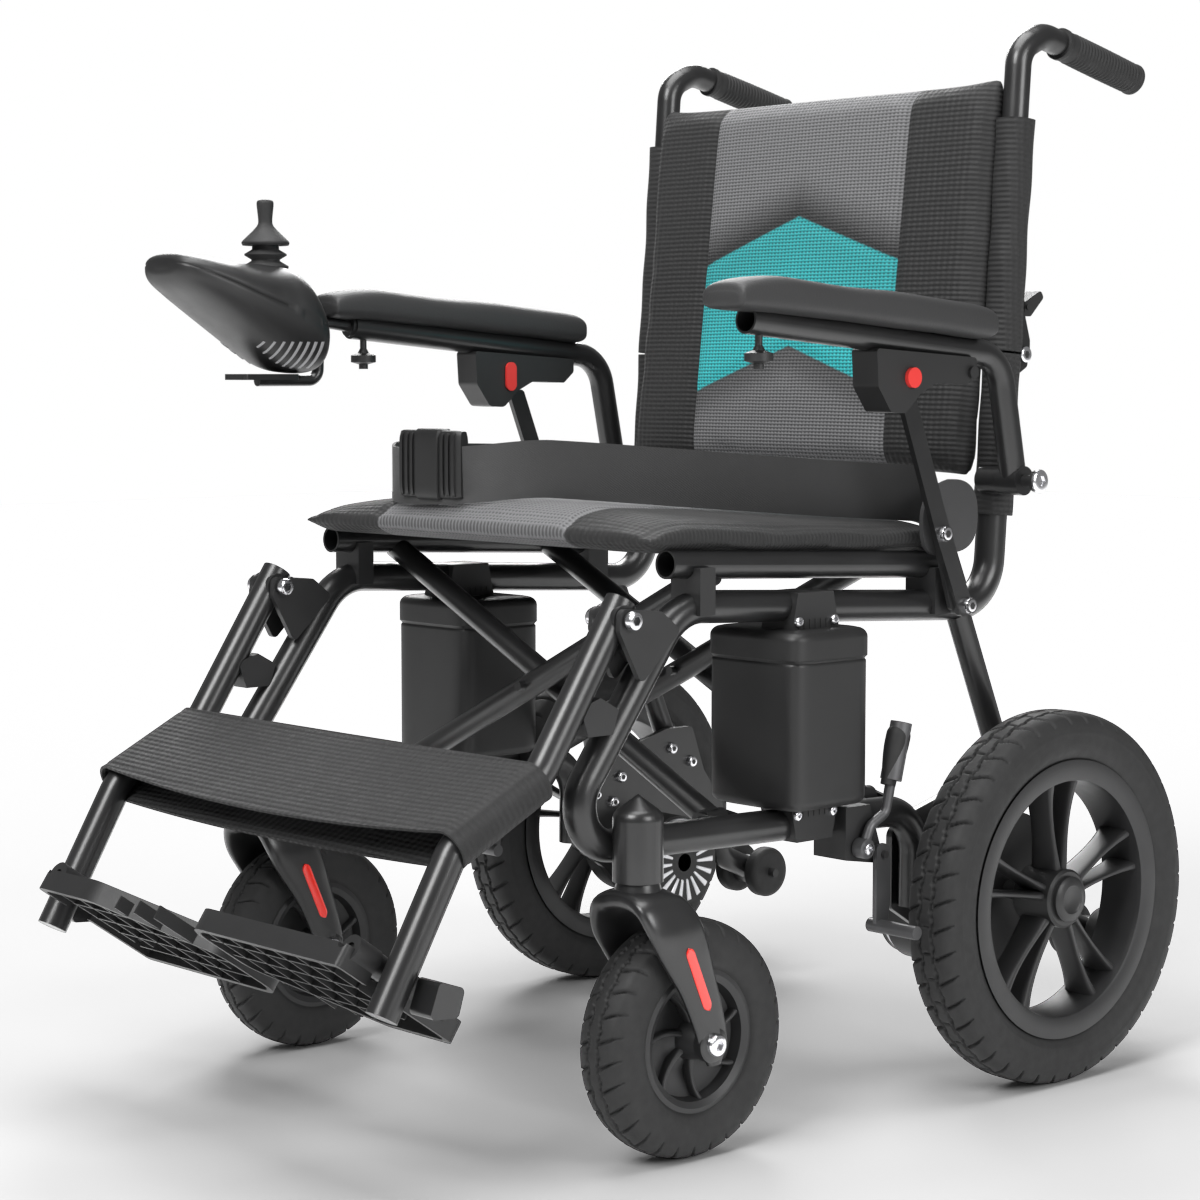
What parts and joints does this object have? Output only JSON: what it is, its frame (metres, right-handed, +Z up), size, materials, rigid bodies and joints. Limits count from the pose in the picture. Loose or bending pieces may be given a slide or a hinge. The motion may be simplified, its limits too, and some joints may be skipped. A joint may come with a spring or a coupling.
{
  "type": "power wheelchair",
  "caption": "Folding power wheelchair on a scissor frame with padded seat and back, joystick, flip-up arms, swing legrest, hub-side drives, casters and anti-tip wheels.",
  "frame": {"origin": "on the floor, midway along and across the footprint", "axes": "+Z up, -Y the way the chair faces, +X its user's left"},
  "size_m": [0.605, 0.8649, 0.8813],
  "materials": {
    "frame_paint": "satin black powder coat",
    "plate_paint": "satin black",
    "black_plastic": "matt black",
    "motor": "black anodised with bright fins",
    "tyre": "black rubber",
    "cast_rim": "dark grey",
    "grip": "ribbed black",
    "soft_pad": "soft moulded dark grey",
    "red_plastic": "red",
    "mesh": "black air mesh with a grey and teal centre",
    "webbing": "dark grey webbing"
  },
  "bodies": {
    "right_frame": {"right_side_frame": "frame_paint", "right_axle_plate": "plate_paint", "right_frame_fittings": "black_plastic", "right_battery_box": "black_plastic", "right_drive_motor": "motor", "right_arm_strut": "frame_paint", "back_pad_lower": "mesh"},
    "right_antitip": {"right_antitip_wheels": "tyre"},
    "right_brake": {"right_brake_lever": "plate_paint"},
    "right_shoe": {"right_brake_shoe": "plate_paint"},
    "right_back": {"right_back_cane": "frame_paint", "right_grip": "grip", "back_pad_upper": "mesh"},
    "right_latch": {"right_back_latch": "black_plastic"},
    "right_arm": {"right_arm_tube": "frame_paint", "right_arm_pad": "soft_pad", "right_arm_lock": "black_plastic"},
    "right_button": {"right_arm_button": "red_plastic"},
    "right_knob": {"right_clamp_knob": "black_plastic"},
    "right_leg": {"right_legrest_hanger": "frame_paint", "calf_strap": "mesh"},
    "right_foot": {"right_footplate": "black_plastic"},
    "right_wheel": {"right_rear_tyre": "tyre", "right_rear_rim": "cast_rim"},
    "right_fork": {"right_caster_fork": "frame_paint"},
    "right_caster": {"right_caster_tyre": "tyre", "right_caster_rim": "cast_rim"},
    "left_frame": {"left_side_frame": "frame_paint", "left_axle_plate": "plate_paint", "left_frame_fittings": "black_plastic", "left_battery_box": "black_plastic", "left_drive_motor": "motor", "left_arm_strut": "frame_paint"},
    "left_antitip": {"left_antitip_wheels": "tyre"},
    "left_brake": {"left_brake_lever": "plate_paint"},
    "left_shoe": {"left_brake_shoe": "plate_paint"},
    "left_back": {"left_back_cane": "frame_paint", "left_grip": "grip"},
    "left_latch": {"left_back_latch": "black_plastic"},
    "left_arm": {"left_arm_tube": "frame_paint", "left_arm_pad": "soft_pad", "left_arm_lock": "black_plastic"},
    "left_button": {"left_arm_button": "red_plastic"},
    "left_knob": {"left_clamp_knob": "black_plastic"},
    "left_leg": {"left_legrest_hanger": "frame_paint"},
    "left_foot": {"left_footplate": "black_plastic"},
    "left_wheel": {"left_rear_tyre": "tyre", "left_rear_rim": "cast_rim"},
    "left_fork": {"left_caster_fork": "frame_paint"},
    "left_caster": {"left_caster_tyre": "tyre", "left_caster_rim": "cast_rim"},
    "bars_left_seat": {"cross_frame_left_seat": "frame_paint"},
    "bars_right_seat": {"cross_frame_right_seat": "frame_paint"},
    "seat": {"seat_cushion": "mesh", "lap_belt": "webbing"},
    "controller": {"controller_arm": "frame_paint", "controller_pod": "black_plastic"},
    "gimbal": {"stick_gimbal": "black_plastic"},
    "stick": {"joystick": "black_plastic"},
    "power": {"power_button": "red_plastic"}
  },
  "joints": [
    {"name": "cross_fold", "type": "hinge", "parent": "right_frame", "child": "bars_left_seat", "pos_m": [-0.188, 0.0604, 0.241], "axis": [0, -1, 0], "range_deg": [0, 38], "deforming": ["seat_cushion", "lap_belt", "back_pad_upper", "back_pad_lower", "calf_strap"]},
    {"name": "bars_centre", "type": "hinge", "parent": "bars_left_seat", "child": "bars_right_seat", "pos_m": [0, 0.0604, 0.33335], "axis": [0, 1, 0], "range_deg": [0, 76]},
    {"name": "left_foot_of_bars", "type": "hinge", "parent": "bars_right_seat", "child": "left_frame", "pos_m": [0.188, 0.0604, 0.241], "axis": [0, -1, 0], "range_deg": [0, 38]},
    {"name": "seat_level", "type": "hinge", "parent": "bars_left_seat", "child": "seat", "pos_m": [0.21, 0.0604, 0.43878], "axis": [0, 1, 0], "range_deg": [0, 38]},
    {"name": "right_back_fold", "type": "hinge", "parent": "right_frame", "child": "right_back", "pos_m": [-0.212, 0.2699, 0.604], "axis": [-1, 0, 0], "range_deg": [0, 90]},
    {"name": "right_latch_lever", "type": "hinge", "parent": "right_back", "child": "right_latch", "pos_m": [-0.212, 0.2789, 0.644], "axis": [-1, 0, 0], "range_deg": [0, 18], "stiffness_Nm_per_rad": 0.05},
    {"name": "right_arm_flip", "type": "hinge", "parent": "right_frame", "child": "right_arm", "pos_m": [-0.245, 0.2324, 0.5], "axis": [-1, 0, 0], "range_deg": [0, 80]},
    {"name": "right_button_press", "type": "slide", "parent": "right_arm", "child": "right_button", "axis": [1, 0, 0], "range_m": [0, 0.003], "stiffness_N_per_m": 400},
    {"name": "right_knob_turn", "type": "hinge", "parent": "right_arm", "child": "right_knob", "pos_m": [-0.245, -0.0676, 0.60277], "axis": [0, 0, 1], "continuous": true},
    {"name": "right_legrest_swing", "type": "hinge", "parent": "right_frame", "child": "right_leg", "pos_m": [-0.217, -0.1896, 0.408], "axis": [-1, 0, 0], "range_deg": [0, 60]},
    {"name": "right_footplate_flip", "type": "hinge", "parent": "right_leg", "child": "right_foot", "pos_m": [-0.193, -0.38672, 0.16996], "axis": [0, -0.8192, 0.5736], "range_deg": [0, 90.56]},
    {"name": "right_antitip_spin", "type": "hinge", "parent": "right_frame", "child": "right_antitip", "pos_m": [-0.212, 0.3844, 0.096], "axis": [1, 0, 0], "continuous": true},
    {"name": "right_brake_pull", "type": "hinge", "parent": "right_frame", "child": "right_brake", "pos_m": [-0.2415, 0.0564, 0.212], "axis": [-1, 0, 0], "range_deg": [0, 30]},
    {"name": "right_shoe_swing", "type": "hinge", "parent": "right_frame", "child": "right_shoe", "pos_m": [-0.2415, 0.0784, 0.205], "axis": [1, 0, 0], "range_deg": [0, 8]},
    {"name": "right_wheel_spin", "type": "hinge", "parent": "right_frame", "child": "right_wheel", "pos_m": [-0.2775, 0.245, 0.155], "axis": [1, 0, 0], "continuous": true},
    {"name": "right_caster_swivel", "type": "hinge", "parent": "right_frame", "child": "right_fork", "pos_m": [-0.238, -0.1846, 0.215], "axis": [0, 0, 1], "continuous": true},
    {"name": "right_caster_spin", "type": "hinge", "parent": "right_fork", "child": "right_caster", "pos_m": [-0.238, -0.1396, 0.0907], "axis": [1, 0, 0], "continuous": true},
    {"name": "left_back_fold", "type": "hinge", "parent": "left_frame", "child": "left_back", "pos_m": [0.212, 0.2699, 0.604], "axis": [-1, 0, 0], "range_deg": [0, 90]},
    {"name": "left_latch_lever", "type": "hinge", "parent": "left_back", "child": "left_latch", "pos_m": [0.212, 0.2789, 0.644], "axis": [-1, 0, 0], "range_deg": [0, 18], "stiffness_Nm_per_rad": 0.05},
    {"name": "left_arm_flip", "type": "hinge", "parent": "left_frame", "child": "left_arm", "pos_m": [0.245, 0.2324, 0.5], "axis": [-1, 0, 0], "range_deg": [0, 80]},
    {"name": "left_button_press", "type": "slide", "parent": "left_arm", "child": "left_button", "axis": [-1, 0, 0], "range_m": [0, 0.003], "stiffness_N_per_m": 400},
    {"name": "left_knob_turn", "type": "hinge", "parent": "left_arm", "child": "left_knob", "pos_m": [0.245, -0.0676, 0.60277], "axis": [0, 0, 1], "continuous": true},
    {"name": "left_legrest_swing", "type": "hinge", "parent": "left_frame", "child": "left_leg", "pos_m": [0.217, -0.1896, 0.408], "axis": [-1, 0, 0], "range_deg": [0, 60]},
    {"name": "left_footplate_flip", "type": "hinge", "parent": "left_leg", "child": "left_foot", "pos_m": [0.193, -0.38672, 0.16996], "axis": [0, 0.8192, -0.5736], "range_deg": [0, 90.56]},
    {"name": "left_antitip_spin", "type": "hinge", "parent": "left_frame", "child": "left_antitip", "pos_m": [0.212, 0.3844, 0.096], "axis": [1, 0, 0], "continuous": true},
    {"name": "left_brake_pull", "type": "hinge", "parent": "left_frame", "child": "left_brake", "pos_m": [0.2415, 0.0564, 0.212], "axis": [-1, 0, 0], "range_deg": [0, 30]},
    {"name": "left_shoe_swing", "type": "hinge", "parent": "left_frame", "child": "left_shoe", "pos_m": [0.2415, 0.0784, 0.205], "axis": [1, 0, 0], "range_deg": [0, 8]},
    {"name": "left_wheel_spin", "type": "hinge", "parent": "left_frame", "child": "left_wheel", "pos_m": [0.2775, 0.245, 0.155], "axis": [1, 0, 0], "continuous": true},
    {"name": "left_caster_swivel", "type": "hinge", "parent": "left_frame", "child": "left_fork", "pos_m": [0.238, -0.1846, 0.215], "axis": [0, 0, 1], "continuous": true},
    {"name": "left_caster_spin", "type": "hinge", "parent": "left_fork", "child": "left_caster", "pos_m": [0.238, -0.1396, 0.0907], "axis": [1, 0, 0], "continuous": true},
    {"name": "controller_reach", "type": "slide", "parent": "right_arm", "child": "controller", "axis": [0, -0.9962, 0.0875], "range_m": [0, 0.04]},
    {"name": "stick_fore_aft", "type": "hinge", "parent": "controller", "child": "gimbal", "pos_m": [-0.245, -0.1716, 0.668], "axis": [1, 0, 0], "range_deg": [-18, 18], "stiffness_Nm_per_rad": 0.2},
    {"name": "stick_side", "type": "hinge", "parent": "gimbal", "child": "stick", "pos_m": [-0.245, -0.1716, 0.668], "axis": [0, 1, 0], "range_deg": [-18, 18], "stiffness_Nm_per_rad": 0.2},
    {"name": "power_press", "type": "slide", "parent": "controller", "child": "power", "axis": [0, 0, -1], "range_m": [0, 0.0015], "stiffness_N_per_m": 300}
  ],
  "couplings": [
    {"joint": "bars_centre", "follows": "cross_fold", "ratio": 2},
    {"joint": "left_foot_of_bars", "follows": "cross_fold", "ratio": 1},
    {"joint": "seat_level", "follows": "cross_fold", "ratio": 1},
    {"joint": "right_footplate_flip", "follows": "cross_fold", "ratio": 2.37},
    {"joint": "right_shoe_swing", "follows": "right_brake_pull", "ratio": 0.26657},
    {"joint": "left_footplate_flip", "follows": "cross_fold", "ratio": 2.37},
    {"joint": "left_shoe_swing", "follows": "left_brake_pull", "ratio": 0.26657},
    {"joint": "left_back_fold", "follows": "right_back_fold", "ratio": 1},
    {"joint": "left_legrest_swing", "follows": "right_legrest_swing", "ratio": 1}
  ]
}
